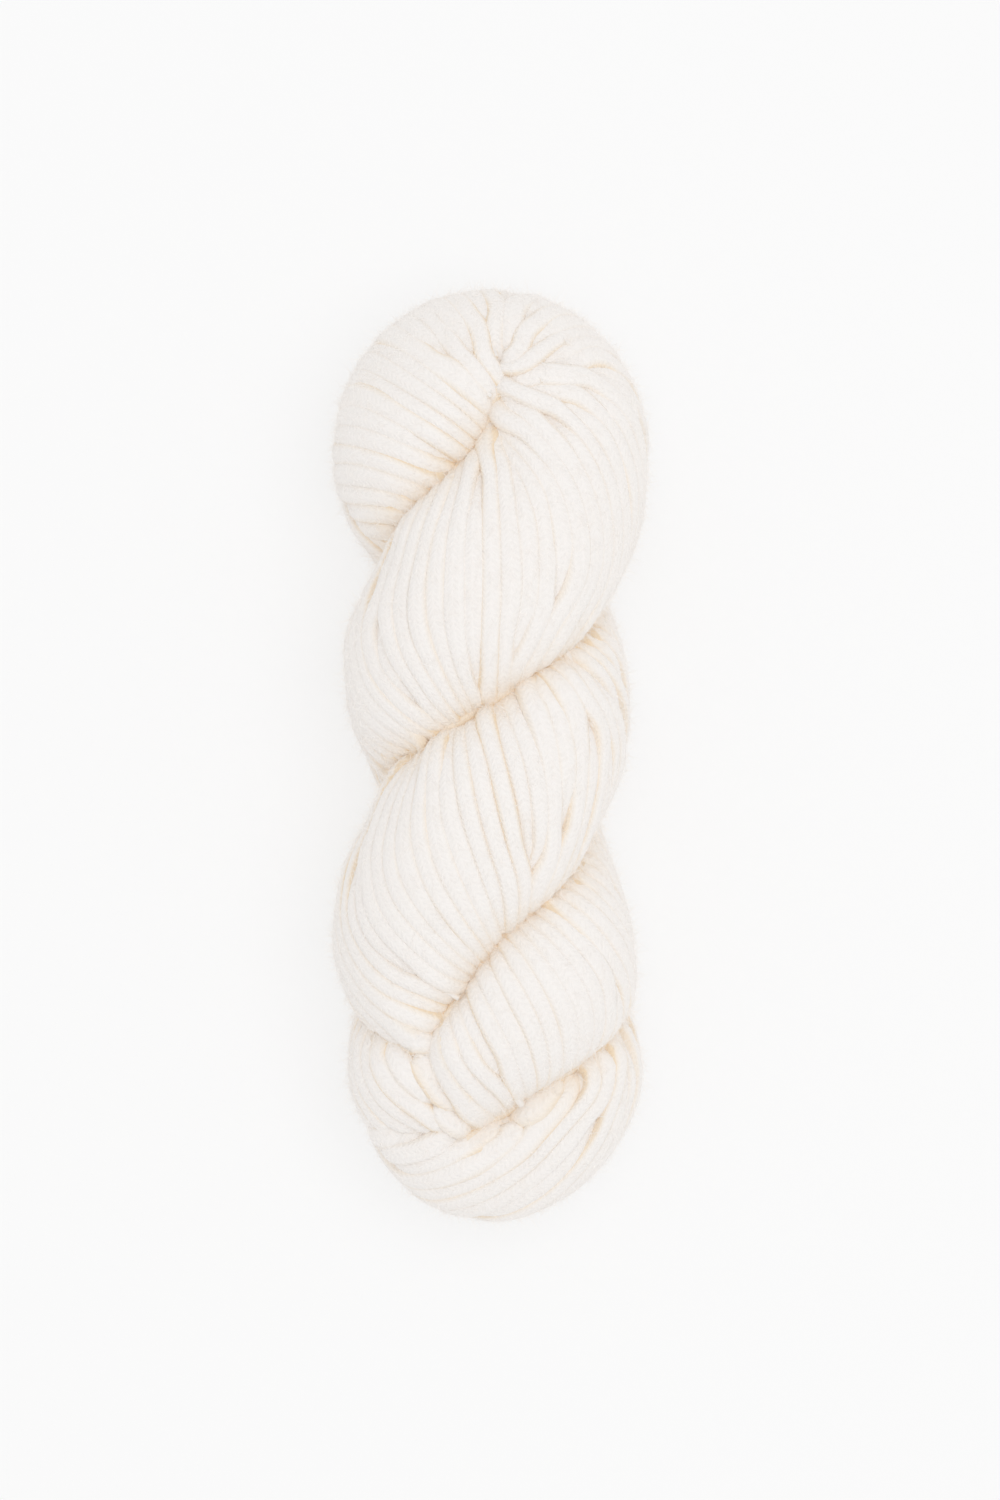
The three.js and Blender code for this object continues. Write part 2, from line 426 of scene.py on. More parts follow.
def part_of(p):
    """fold, loop_half, tucked_half, loop, loop_left or loop_inside."""
    y = p[1]
    if y > FOLD_ABOVE_Y:
        return "fold"
    turn = turn_of(p)
    first = read("first", y)
    second = read("second", y)
    if y < SECOND_CREASE_ENDS_Y:
        second = min(second, first + 359)
    if y > LOOP_BELOW_Y and (turn - first) % 360 > (second - first) % 360:
        return "tucked_half"
    if y > np.interp(turn, LOOP_STARTS["turn"], LOOP_STARTS["y"]):
        return "loop_half"
    beside = not OPENING_TURNS[0] < turn < OPENING_TURNS[1]
    if p[2] < OPENING_LOWEST_Z or y < OPENING_LOWEST_Y or beside:
        return "loop"
    inside = np.interp(y, LOOP_OPENS["y"], LOOP_OPENS["turn"])
    return "loop_inside" if turn < inside else "loop_left"


# %% The way the yarn runs at a point
NEAR_LEANS = 130.0
FAR_LEANS = 150.0
FAR_SHARE = 30.0


def lay_direction(p, part, extra_lean):
    """The way the yarn runs at a point of the form: the leans about it, near ones first."""
    n = outward(p)
    side = np.cross(n, (0.0, 1.0, 0.0))
    length = np.linalg.norm(side)
    side = side / length if length > 1e-6 else np.array((1.0, 0.0, 0.0))
    down = np.cross(side, n)
    if down[1] > 0:
        down = -down
    gaps = np.sum((lay_points - p) ** 2, axis=1)
    nearness = np.exp(-gaps / NEAR_LEANS) + FAR_SHARE / (gaps + FAR_LEANS) ** 2
    spread = np.tensordot(lay_masks[part] * nearness, lay_spreads, axes=(0, 0))
    a = down @ spread @ down
    b = down @ spread @ side
    c = side @ spread @ side
    angle = 0.5 * math.atan2(2 * b, a - c) + math.radians(extra_lean)
    return down * math.cos(angle) + side * math.sin(angle)


# %% [markdown]
# ## Laying the strands
#
# Winding one endless yarn through the whole hank would put most of it where nobody sees it.
# Instead each strand is drawn over a turn as a line that follows the lay, both ways from a
# starting point, until it reaches a crease or runs out of room between its neighbours. Then
# it ducks under. New strands start beside the ones already laid, one yarn's width away, and
# at the end the widest gaps that are left get a strand of their own.

# %% The strands laid so far
CELL = 6


def cell_of(p):
    """The coarse cell that a point is in."""
    return int(p[0] // CELL), int(p[1] // CELL), int(p[2] // CELL)


class Laid:
    def __init__(self):
        self.cells = {}

    def add(self, line):
        """Takes in the points of a new strand."""
        for p in line:
            self.cells.setdefault(cell_of(p), []).append(tuple(p))

    def too_close(self, p, room):
        """Whether a point laid so far is nearer to p than this."""
        x, y, z = p
        limit = room * room
        for cell in itertools.product(*((i - 1, i, i + 1) for i in cell_of(p))):
            for q in self.cells.get(cell, ()):
                if (q[0] - x) ** 2 + (q[1] - y) ** 2 + (q[2] - z) ** 2 < limit:
                    return True
        return False


# %% Draw one strand
CREASE_GAP = 1.5
LINE_STEP = 1.6
MOST_STEPS = 130
KEEPS_ITS_WAY = 0.4
GOES_ON = {
    "fold": ("loop_half", "tucked_half"),
    "loop_half": ("fold", "loop", "loop_left"),
    "tucked_half": ("fold", "loop_inside"),
    "loop": ("loop_half", "loop_left"),
    "loop_left": ("loop_half", "loop"),
    "loop_inside": ("tucked_half",),
}


def draw_half(start, sign, laid, room, extra_lean):
    """A strand's points one way from start, and whether it ends at a crease."""
    p = start
    part = part_of(p)
    points = []
    before = None
    for _ in range(MOST_STEPS):
        way = lay_direction(p, part, extra_lean(p))
        if before is None:
            way = way * sign
        else:
            way = way if way.dot(before) > 0 else -way
            way = way * (1 - KEEPS_ITS_WAY) + before * KEEPS_ITS_WAY
            way = way / np.linalg.norm(way)
        ahead = onto_form(p + way * LINE_STEP)
        next_part = part_of(ahead)
        gap = nearest_crease(ahead)[0]
        barred = next_part != part and next_part not in GOES_ON[part]
        if barred or (gap < CREASE_GAP and gap < nearest_crease(p)[0]):
            if not barred:
                points.append(ahead)
            return points, True
        if laid.too_close(ahead, room):
            break
        points.append(ahead)
        before = way
        p = ahead
        part = next_part
    return points, False


def draw_strand(start, laid, room, extra_lean):
    """A line on the form both ways from start, and whether each end meets a crease."""
    onward, last_crease = draw_half(start, 1, laid, room, extra_lean)
    back, first_crease = draw_half(start, -1, laid, room, extra_lean)
    return np.array(back[::-1] + [start] + onward), first_crease, last_crease


# %% Lay strands over the whole form
TRIES = 6000
FIRST_STARTS = [
    (90, 50), (90, -18), (75, -72), (75, -110), (150, 80), (60, 90), (270, 50), (270, -20),
    (270, -90), (170, -92), (0, 20), (180, 20), (128, -92)]
ROOM_BESIDE = 0.93
ROOM_IN_GAPS = (0.86, 0.8, 0.74)
FEWEST_POINTS = 6
SWAY = 1.6


def lay_strands(spacing, squeeze, lean, seed_number):
    """Strands this far apart. squeeze is how near they may come before one ducks under."""
    chance = random.Random(seed_number)
    waves = [(chance.uniform(0.03, 0.09), chance.uniform(0, 6.3)) for _ in range(6)]
    laid = Laid()
    strands = []

    def extra_lean(p):
        """The lean added at p, which sways slowly over the hank."""
        along = p[0] + 0.7 * p[1] + 1.3 * p[2]
        return lean + SWAY * sum(math.sin(along * often + shift) for often, shift in waves)

    def lay_one(start, room_to_start):
        """Lays a strand from here and returns its line, or None where there is no room."""
        if laid.too_close(start, room_to_start) or nearest_crease(start)[0] < CREASE_GAP + 0.4:
            return None
        strand = draw_strand(start, laid, spacing * squeeze, extra_lean)
        if len(strand[0]) < FEWEST_POINTS:
            return None
        laid.add(strand[0])
        strands.append(strand)
        return strand[0]

    anywhere = [point_at(chance.uniform(0, 360), (HALF_LENGTH - 1) * chance.uniform(-1, 1))
                for _ in range(TRIES)]
    starts = deque([point_at(turn, y) for turn, y in FIRST_STARTS] + anywhere)
    while starts:
        line = lay_one(starts.popleft(), spacing * ROOM_BESIDE)
        if line is None:
            continue
        beside = []
        for i in range(1, len(line) - 1, 2):
            way = line[i + 1] - line[i - 1]
            side = np.cross(way / np.linalg.norm(way), outward(line[i]))
            beside += [onto_form(line[i] + side * spacing), onto_form(line[i] - side * spacing)]
        chance.shuffle(beside)
        starts.extendleft(beside)
    for room in ROOM_IN_GAPS:
        for start in anywhere:
            lay_one(start, spacing * room)
    return strands


top_strands = lay_strands(spacing=4.9, squeeze=0.54, lean=0.0, seed_number=3)
inner_strands = lay_strands(spacing=5.4, squeeze=0.56, lean=6.0, seed_number=8)
print("top strands", len(top_strands), "inner", len(inner_strands),
      "seconds", round(time.time() - started, 1))

# %% [markdown]
# ## From lines to yarn
#
# The yarn lies just under the outer form. Near a crease it dips, along a quarter circle, and
# dives into the dark between the two halves. A strand that runs out of room slides under its
# neighbours. Every strand is nudged to the middle of the room it has, and is as wide as that
# room, because soft yarn fills the space that is there.

# %% Small helpers for rows of points
def unit(rows):
    """Every row made one long."""
    return rows / np.maximum(np.linalg.norm(rows, axis=1, keepdims=True), 1e-9)


def ways(line):
    """The way a line runs at each of its points."""
    return unit(np.gradient(line, axis=0))


def softened(values, rounds):
    """Evens out values along a line and keeps the ends."""
    values = np.array(values, float)
    for _ in range(rounds):
        values[1:-1] = values[1:-1] * 0.5 + (values[:-2] + values[2:]) * 0.25
    return values


# %% How far the yarn dips beside the creases
CREASE_REACH = 25.0
CREASE_DIP = 12.0
STEEPEST_AT = 0.35


def dips(points):
    """How far the yarn lies under the outer form, and how it falls away to the crease."""
    most = np.zeros(len(points))
    fall = np.zeros((len(points), 3))
    row = np.arange(len(points))
    for first, last in crease_spans:
        toward = crease_points[None, first:last] - points[:, None, :]
        gaps = np.linalg.norm(toward, axis=2)
        i = np.argmin(gaps, axis=1)
        t = np.clip((gaps[row, i] - CREASE_GAP) / CREASE_REACH, 0, 1)
        height = np.sqrt(1 - (1 - t) ** 2)
        full = CREASE_DIP * crease_depths[first:last][i]
        steep = full / CREASE_REACH * (1 - t) / np.maximum(height, STEEPEST_AT)
        deeper = full * (1 - height) > most
        most = np.where(deeper, full * (1 - height), most)
        fall[deeper] = (unit(toward[row, i]) * steep[:, None])[deeper]
    return most, fall


# %% Every strand moves to the middle of its room
LOOKS_ASIDE = 7.5
SAME_PLACE = 1.3
NUDGE_SHARE = 0.3
NUDGE_MOST = 0.6


def room_beside(lines, normals):
    """For every point, the distance to the next strand on the left and on the right."""
    tree = KDTree(sum(len(line) for line in lines))
    owners = []
    for number, line in enumerate(lines):
        for p in line:
            tree.insert(p, len(owners))
            owners.append(number)
    tree.balance()
    rooms = []
    for number, line in enumerate(lines):
        along = ways(line)
        sides = np.cross(along, normals[number])
        room = np.full((len(line), 2), LOOKS_ASIDE)
        for i, p in enumerate(line):
            for q, index, _gap in tree.find_range(p, LOOKS_ASIDE):
                if owners[index] == number:
                    continue
                d = np.array(q) - p
                if abs(d.dot(along[i])) > SAME_PLACE:
                    continue
                off = d.dot(sides[i])
                which = 0 if off > 0 else 1
                room[i, which] = min(room[i, which], abs(off))
        rooms.append(room)
    return rooms


def normals_of(lines):
    """The ways out of the form along each line."""
    return [np.array([outward(p) for p in line]) for line in lines]


def settle(strands, rounds):
    """Nudges each line to the middle of its room. Returns lines, normals and rooms."""
    lines = [strand[0] for strand in strands]
    for _ in range(rounds):
        normals = normals_of(lines)
        moved = []
        for line, normal, room in zip(lines, normals, room_beside(lines, normals)):
            sides = np.cross(ways(line), normal)
            nudge = np.clip((room[:, 0] - room[:, 1]) * NUDGE_SHARE, -NUDGE_MOST, NUDGE_MOST)
            shifted = softened(line + sides * softened(nudge, 4)[:, None], 1)
            moved.append(np.array([onto_form(p) for p in shifted]))
        lines = moved
    normals = normals_of(lines)
    return lines, normals, room_beside(lines, normals)


# %% [markdown]
# A strand has to end out of sight. At a crease it plunges into the dark. Elsewhere it thins
# out and slides under its neighbours, but not so far that it comes out in the next crease.

# %% How a strand ends
DUCKS_WITHIN = 5.0


def tail(middle, from_axis, meets_crease, at):
    """The rows past the last one, with their share of the width and their added depth."""
    way = middle[-1] - middle[-2]
    way = way / max(np.linalg.norm(way), 1e-6)
    gap, crease_depth = nearest_crease(at)
    if meets_crease or gap < DUCKS_WITHIN:
        onward, down = 0.5, 1.1 + crease_depth
        steps = np.arange(1, 5)
        share, deeper = 1 - 0.1 * steps, 2.2 * steps
    else:
        onward, down = 1.7, 0.26
        steps = np.arange(1, min(10, int(gap / onward) + 1))
        share, deeper = 1 - 0.075 * steps, 0.3 * steps
    rows = middle[-1] + (way * onward - from_axis * down) * steps[:, None]
    return rows, share, deeper


# %% How plump, how wide and how deep a strand is
YARN_HALF = 2.5
WIDTHS = (1.7, 5.0)
HEIGHTS = (1.75, 2.2)
WIDEST_ON_A_SLOPE = 1.4
SLIDE_LENGTH = 15.0
SLIDE_DEPTH = 2.0


def plumpness(line, fall, place, fullness, chance):
    """The share of its room that a strand fills, more where it is calm at the fold."""
    plump = fullness + chance.uniform(-0.2, 0.14)
    plump = plump + 0.1 * np.sin(place / 23 + chance.uniform(0, 6.28))
    calm = 1 - np.clip(np.linalg.norm(fall, axis=1) / 0.4, 0, 1)
    return plump + 0.3 * calm * np.clip((line[:, 1] - 90) / 12, 0, 1)


def widths(line, normal, room, fall, plump):
    """Half width and half height. A strand that lies across a slope covers it."""
    half = np.minimum(room[:, 0], 6.4) + np.minimum(room[:, 1], 6.4)
    wide = np.clip(softened(half * 0.25, 6) * plump, *WIDTHS)
    tall = np.clip(YARN_HALF * (YARN_HALF / wide) ** 0.5, *HEIGHTS)
    across = np.sum(fall * np.cross(ways(line), normal), axis=1)
    return wide * np.minimum(np.sqrt(1 + across**2), WIDEST_ON_A_SLOPE), tall


def slid_under(under, place, first_crease, last_crease):
    """The depth under the form, with the ends that meet no crease a little deeper."""
    for meets_crease, from_end in ((first_crease, place), (last_crease, place[::-1])):
        if not meets_crease:
            slide = np.clip(1 - from_end / SLIDE_LENGTH, 0, 1)
            under = under + SLIDE_DEPTH * slide * slide * (3 - 2 * slide)
    return under


# %% The rows that every strand carries
def away_from_axis(line):
    """The ways straight out from the long axis of the hank."""
    return unit((line - (0.0, 0.0, AXIS_HEIGHT)) * (1, 0, 1))


def strand_rows(part, middle, normal, wide, tall, travelled, deep, tone):
    """One strand: its middle line, its ways up and sideways and its sizes."""
    along = ways(middle)
    up = unit(normal - along * np.sum(along * normal, axis=1, keepdims=True))
    return {"part": part, "middle": middle, "up": up, "sideways": np.cross(along, up),
            "wide": wide, "tall": tall, "along": travelled, "deep": deep, "tone": tone}


# %% Make the yarn's middle lines
CENTRE_SHIFT = 0.34
FULL_PAINTED_SHADE_DEPTH = 14.0


def yarn_paths(strands, below, fullness, chance):
    """The rows of every strand, this far below the outer layer."""
    paths = []
    for (_, first_crease, last_crease), line, normal, room in zip(
            strands, *settle(strands, rounds=5)):
        place = np.arange(len(line)) * LINE_STEP
        dip, fall = dips(line)
        wave = sum(np.sin(place / length * 6.28 + chance.uniform(0, 6.28)) for length in (37, 61))
        plump = plumpness(line, fall, place, fullness, chance)
        wide, tall = widths(line, normal, room, fall, plump)
        under = dip + below + tall + 0.2 * wave + chance.uniform(-0.3, 0.3)
        under = slid_under(under, place, first_crease, last_crease)
        from_axis = away_from_axis(line)
        middle = line - normal * (under - dip)[:, None] - from_axis * dip[:, None]

        head, head_share, head_depth = tail(middle[::-1], from_axis[0], first_crease, line[0])
        foot, foot_share, foot_depth = tail(middle, from_axis[-1], last_crease, line[-1])
        ends = (len(head), len(foot))
        share = np.concatenate([head_share[::-1], np.ones(len(line)), foot_share])
        added = np.concatenate([head_depth[::-1], np.zeros(len(line)), foot_depth])
        wide = np.pad(wide, ends, mode="edge") * share
        tall = np.pad(tall, ends, mode="edge") * share
        depth = np.pad(np.maximum(under - below - YARN_HALF, 0), ends, mode="edge") + added
        middle = softened(np.vstack([head[::-1], middle, foot]), 2)
        middle[:, 0] += CENTRE_SHIFT
        middle[:, 2] = np.maximum(middle[:, 2], tall * 1.02)
        normal = np.pad(unit(normal + fall), (ends, (0, 0)), mode="edge")

        steps = np.linalg.norm(np.diff(middle, axis=0), axis=1)
        travelled = np.concatenate([[0], np.cumsum(steps)]) + chance.uniform(0, 40)
        tone = chance.random() if below == 0 else 0.0
        # painted shade: the colour turns tan the further the strand lies under the outer form
        deep = np.clip((depth + 0.5 * below) / FULL_PAINTED_SHADE_DEPTH, 0, 1) ** 1.45
        paths.append(strand_rows(part_of(line[len(line) // 2]), middle, normal, wide, tall,
                                 travelled, deep, np.full(len(middle), tone)))
    return paths


top_paths = yarn_paths(top_strands, below=0.0, fullness=1.4, chance=random.Random(21))
inner_paths = yarn_paths(inner_strands, below=2.3, fullness=1.35, chance=random.Random(22))
yarn_metres = sum(path["along"][-1] - path["along"][0] for path in top_paths) / 1000
print("yarn on top", round(yarn_metres, 2), "m, seconds", round(time.time() - started, 1))

# %% [markdown]
# Between two halves that lean away from each other a deep crease would show the dark inside
# of the hank. On the real one more yarn lies there. One strand along the bottom of each deep
# crease closes it, a little thinner than the rest, with painted shade that colours it warm.

# %% Strands along the bottom of the creases
BOTTOM_DEPTH = 0.88
BOTTOM_HALF = YARN_HALF * 0.8
SHALLOWEST = 0.42


def crease_strand(crease):
    """One strand in the bottom of a crease, where it runs far in, with painted shade."""
    found = [(point_at(turn, y), depth) for y, turn, depth in crease_rows(crease, 0.02)
             if depth > SHALLOWEST]
    kept = found[:1]
    for p, depth in found:
        if np.linalg.norm(p - kept[-1][0]) > LINE_STEP:
            kept.append((p, depth))
    line = np.array([p for p, _ in kept])
    depth = np.array([depth for _, depth in kept]) * CREASE_DIP * BOTTOM_DEPTH
    from_axis = away_from_axis(line)
    middle = softened(line - from_axis * (depth + YARN_HALF)[:, None], 4)
    middle[:, 0] += CENTRE_SHIFT
    middle[:, 2] = np.maximum(middle[:, 2], YARN_HALF)
    count = len(middle)
    size = np.full(count, BOTTOM_HALF)
    # painted shade 0.75 colours this strand tan; its tone is 0.5
    return strand_rows("inner", middle, from_axis, size, size, np.arange(count) * LINE_STEP,
                       np.full(count, 0.75), np.full(count, 0.5))


inner_paths += [crease_strand(crease) for crease in EVERY_CREASE[:3]]
print("strands", len(top_paths), "on top and", len(inner_paths), "under them")

# %% A mesh of bare lines that carries the sizes
LENGTHS = ("wide", "tall")
NUMBERS = ("along", "deep", "tone")
DIRECTIONS = ("up", "sideways")


def lines_mesh(name, paths, every):
    """A mesh of joined-up points, with the yarn's sizes as attributes in metres."""
    columns = {key: [] for key in ("middle", *DIRECTIONS, *LENGTHS, *NUMBERS)}
    edges = []
    total = 0
    for path in paths:
        count = len(path["middle"])
        kept = sorted(set(range(0, count, every)) | {count - 1})
        for key in columns:
            columns[key].append(path[key][kept])
        edges += [(total + i, total + i + 1) for i in range(len(kept) - 1)]
        total += len(kept)
    columns = {key: np.concatenate(values) for key, values in columns.items()}
    mesh = bpy.data.meshes.new(name)
    mesh.from_pydata((columns["middle"] * MM).tolist(), edges, [])
    for key in LENGTHS + NUMBERS:
        scale = MM if key in LENGTHS else 1.0
        made = mesh.attributes.new(key, "FLOAT", "POINT")
        made.data.foreach_set("value", (columns[key] * scale).astype(np.float32))
    for key in DIRECTIONS:
        made = mesh.attributes.new(key, "FLOAT_VECTOR", "POINT")
        made.data.foreach_set("vector", columns[key].astype(np.float32).ravel())
    piece = bpy.data.objects.new(name, mesh)
    bpy.context.scene.collection.objects.link(piece)
    return piece


# %% [markdown]
# ## Yarn from the lines
#
# A curve with a bevel would give round, even cords. Soft yarn is pressed flat where it is
# crowded, so Geometry Nodes sweep a circle along each line and then press every ring to the
# width and height that the line carries. The place round the yarn is kept as two
# attributes, so the stitches of the material can follow the strand.

# %% Small helpers for node trees
def add_node(tree, kind, **settings):
    """A new node with these settings."""
    made = tree.nodes.new(kind)
    for name, value in settings.items():
        setattr(made, name, value)
    return made


def plug(tree, target, value):
    """Links a socket to the target, or sets a plain value on it."""
    if isinstance(value, bpy.types.NodeSocket):
        tree.links.new(value, target)
    else:
        target.default_value = value


def feed(tree, node, **inputs):
    """Sets or links a node's inputs by name, with _ for a space."""
    for name, value in inputs.items():
        plug(tree, node.inputs[name.replace("_", " ")], value)
    return node


def math_node(tree, operation, a, b=0.0, c=0.0):
    """The result of a sum on sockets or numbers."""
    made = add_node(tree, "ShaderNodeMath", operation=operation)
    for target, value in zip(made.inputs, (a, b, c)):
        plug(tree, target, value)
    return made.outputs[0]


def vector_math(tree, operation, a, b=None, scale=None):
    """The result of a sum on directions."""
    made = add_node(tree, "ShaderNodeVectorMath", operation=operation)
    plug(tree, made.inputs[0], a)
    if b is not None:
        plug(tree, made.inputs[1], b)
    if scale is not None:
        plug(tree, made.inputs["Scale"], scale)
    return made.outputs["Value" if operation == "DOT_PRODUCT" else "Vector"]


def named(tree, name, kind="FLOAT"):
    """An attribute of the geometry, by name."""
    made = add_node(tree, "GeometryNodeInputNamedAttribute", data_type=kind)
    made.inputs["Name"].default_value = name
    return made.outputs["Attribute"]


def store(tree, geometry, name, value, kind="FLOAT"):
    """The geometry with a value kept at its points under a name."""
    made = add_node(tree, "GeometryNodeStoreNamedAttribute", data_type=kind, domain="POINT")
    feed(tree, made, Geometry=geometry, Name=name, Value=value)
    return made.outputs["Geometry"]


# %% Start, end and run a tree
def new_tree(name, sizes):
    """A geometry tree with named inputs. sizes: name -> (kind, value)."""
    tree = bpy.data.node_groups.new(name, "GeometryNodeTree")
    tree.interface.new_socket("Geometry", in_out="INPUT", socket_type="NodeSocketGeometry")
    tree.interface.new_socket("Geometry", in_out="OUTPUT", socket_type="NodeSocketGeometry")
    for label, (kind, value) in sizes.items():
        made = tree.interface.new_socket(label, in_out="INPUT", socket_type=kind)
        if value is not None:
            made.default_value = value
    entry = add_node(tree, "NodeGroupInput")
    leave = add_node(tree, "NodeGroupOutput")
    return tree, entry.outputs, leave.inputs


def end_tree(tree, geometry, entry, leave):
    """Makes the copies real, gives them their finish and hands them out."""
    whole = feed(tree, add_node(tree, "GeometryNodeRealizeInstances"), Geometry=geometry)
    finished = feed(tree, add_node(tree, "GeometryNodeSetMaterial"),
                    Geometry=whole.outputs[0], Material=entry["Finish"])
    tree.links.new(finished.outputs[0], leave["Geometry"])
    print(tree.name, "nodes", len(tree.nodes))


def run_tree(piece, tree, values):
    """Runs the tree on the piece and keeps the result as a plain mesh."""
    modifier = piece.modifiers.new(tree.name, "NODES")
    modifier.node_group = tree
    for item in tree.interface.items_tree:
        if item.item_type == "SOCKET" and item.in_out == "INPUT" and item.name in values:
            modifier[item.identifier] = values[item.name]
    depsgraph = bpy.context.evaluated_depsgraph_get()
    made = bpy.data.meshes.new_from_object(piece.evaluated_get(depsgraph))
    piece.modifiers.clear()
    piece.data = made
    made.name = piece.name
    made.calc_loop_triangles()
    print(piece.name, "triangles", len(made.loop_triangles))
    return piece


# %% Sweep a circle along every line
yarn_tree, entry, leave = new_tree("sweep yarn", {
    "Sides": ("NodeSocketInt", 12),
    "Squareness": ("NodeSocketFloat", 0.75),
    "Finish": ("NodeSocketMaterial", None),
})
curve = feed(yarn_tree, add_node(yarn_tree, "GeometryNodeMeshToCurve"), Mesh=entry["Geometry"])
position = add_node(yarn_tree, "GeometryNodeInputPosition").outputs[0]
kept = store(yarn_tree, curve.outputs[0], "heart", position, "FLOAT_VECTOR")
ring = feed(yarn_tree, add_node(yarn_tree, "GeometryNodeCurvePrimitiveCircle"),
            Resolution=entry["Sides"], Radius=1.0 * MM)
swept = feed(yarn_tree, add_node(yarn_tree, "GeometryNodeCurveToMesh"),
             Curve=kept, Profile_Curve=ring.outputs[0], Fill_Caps=True)

# %% Press every ring to the width and height of its strand
heart = named(yarn_tree, "heart", "FLOAT_VECTOR")
up = named(yarn_tree, "up", "FLOAT_VECTOR")
out = vector_math(yarn_tree, "SCALE", vector_math(yarn_tree, "SUBTRACT", position, heart),
                  scale=1 / MM)
over = vector_math(yarn_tree, "DOT_PRODUCT", out, up)
beside = vector_math(yarn_tree, "SUBTRACT", out, vector_math(yarn_tree, "SCALE", up, scale=over))
flat_over = math_node(yarn_tree, "MULTIPLY", math_node(yarn_tree, "SIGN", over), math_node(
    yarn_tree, "POWER", math_node(yarn_tree, "ABSOLUTE", over), entry["Squareness"]))
pressed_over = math_node(yarn_tree, "MULTIPLY", flat_over, named(yarn_tree, "tall"))
pressed = vector_math(
    yarn_tree, "ADD",
    vector_math(yarn_tree, "SCALE", beside, scale=named(yarn_tree, "wide")),
    vector_math(yarn_tree, "SCALE", up, scale=pressed_over))
with_over = store(yarn_tree, swept.outputs[0], "over", over)
with_side = store(yarn_tree, with_over, "side", vector_math(
    yarn_tree, "DOT_PRODUCT", out, named(yarn_tree, "sideways", "FLOAT_VECTOR")))
moved = feed(yarn_tree, add_node(yarn_tree, "GeometryNodeSetPosition"),
             Geometry=with_side, Position=vector_math(yarn_tree, "ADD", heart, pressed))
smooth = feed(yarn_tree, add_node(yarn_tree, "GeometryNodeSetShadeSmooth"),
              Geometry=moved.outputs[0], Shade_Smooth=True)
end_tree(yarn_tree, smooth.outputs[0], entry, leave)

# %% [markdown]
# ## The finish of the yarn
#
# This is a chain-knit yarn: a fine tube of knitted fibre, cream, dull and hairy. Knitted
# loops as geometry would need millions of faces, so they are bump that follows the strand:
# rows of little V shapes along it. Between the strands the wool lies in shade, where light
# that has been through it many times turns warm. That shade is painted into the colour,
# which grows tan with depth and down the sides of each strand.

# %% The colour of the wool and its painted shade
CREAM = (0.915, 0.883, 0.857, 1.0)
# painted light: loose fibres are paler than the yarn, for the light single fibres let through
FIBRE_CREAM_PAINTED_PALER = (0.95, 0.925, 0.90, 1.0)
# painted shade: the cream turns warm, then tan, with depth and down the sides of strands
WARM_PAINTED_SHADE = (0.92, 0.845, 0.757, 1.0)
TAN_PAINTED_SHADE = (0.875, 0.73, 0.55, 1.0)


def attribute(tree, name):
    """An attribute of the mesh, by name, for a material."""
    return add_node(tree, "ShaderNodeAttribute", attribute_name=name).outputs["Fac"]


def groove_painted_shade(tree, tone):
    """Painted shade: none on a strand's crown, more down its sides, most where its tone is high."""
    low = feed(tree, add_node(tree, "ShaderNodeMapRange"), Value=attribute(tree, "over"),
               From_Min=0.92, From_Max=0.45, To_Min=0.0, To_Max=1.0)
    return math_node(tree, "MULTIPLY", low.outputs[0],
                     math_node(tree, "MULTIPLY_ADD", tone, 0.6, 0.3))


def wool_colour_and_painted_shade(tree, place, cream, stitches):
    """Cream on the outside, turned tan with depth by painted shade."""
    tone = attribute(tree, "tone")
    blur = feed(tree, add_node(tree, "ShaderNodeTexNoise"), Vector=place, Scale=70.0,
                Detail=3.0, Roughness=0.55)
    patch = math_node(tree, "MULTIPLY", math_node(tree, "SUBTRACT", blur.outputs[0], 0.5), 0.25)
    own = math_node(tree, "MULTIPLY", math_node(tree, "SUBTRACT", tone, 0.5), 0.06)
    deep = attribute(tree, "deep")
    tone_and_painted_shade = math_node(tree, "ADD", math_node(tree, "ADD", deep, patch), own)
    if stitches:
        tone_and_painted_shade = math_node(tree, "ADD", tone_and_painted_shade, groove_painted_shade(tree, tone))
    ramp = add_node(tree, "ShaderNodeValToRGB")
    tree.links.new(tone_and_painted_shade, ramp.inputs[0])
    colours = ramp.color_ramp.elements
    colours[0].position = 0.12
    colours[0].color = cream
    colours[1].position = 1.0
    colours[1].color = TAN_PAINTED_SHADE
    middle = colours.new(0.62)
    middle.color = WARM_PAINTED_SHADE
    return ramp.outputs[0]


# %% The relief of the wool
WALES = 6
STITCH = 1.7
V_SLANT = 1.7


def stitch_relief(tree):
    """Rows of little V shapes that follow the strand, between 0 and 1."""
    turn = math_node(tree, "ARCTAN2", attribute(tree, "side"), attribute(tree, "over"))
    column = math_node(tree, "MULTIPLY", turn, WALES / math.tau)
    within = math_node(tree, "SUBTRACT", math_node(tree, "FRACT", column), 0.5)
    leg = math_node(tree, "ABSOLUTE", within)
    wave = math_node(tree, "MULTIPLY_ADD", attribute(tree, "along"), 1 / STITCH,
                     math_node(tree, "MULTIPLY", leg, V_SLANT))
    ridge = math_node(tree, "SINE", math_node(tree, "MULTIPLY", wave, math.tau))
    plump = math_node(tree, "SINE", math_node(tree, "MULTIPLY", leg, math.tau))
    return math_node(tree, "MULTIPLY", math_node(tree, "MULTIPLY_ADD", ridge, 0.5, 0.5), plump)


def wool_relief(tree, place, stitches):
    """Fine fibre as bump, with the knitted stitches where the piece has them."""
    fine_fibre = feed(tree, add_node(tree, "ShaderNodeTexNoise"), Vector=place, Scale=1600.0,
                      Detail=2.0, Roughness=0.6)
    height = math_node(tree, "MULTIPLY", fine_fibre.outputs[0], 0.35)
    if stitches:
        height = math_node(tree, "ADD", height,
                           math_node(tree, "MULTIPLY", stitch_relief(tree), 0.65))
    bump = feed(tree, add_node(tree, "ShaderNodeBump"), Height=height, Strength=0.36,
                Distance=0.8 * MM)
    return bump.outputs[0]


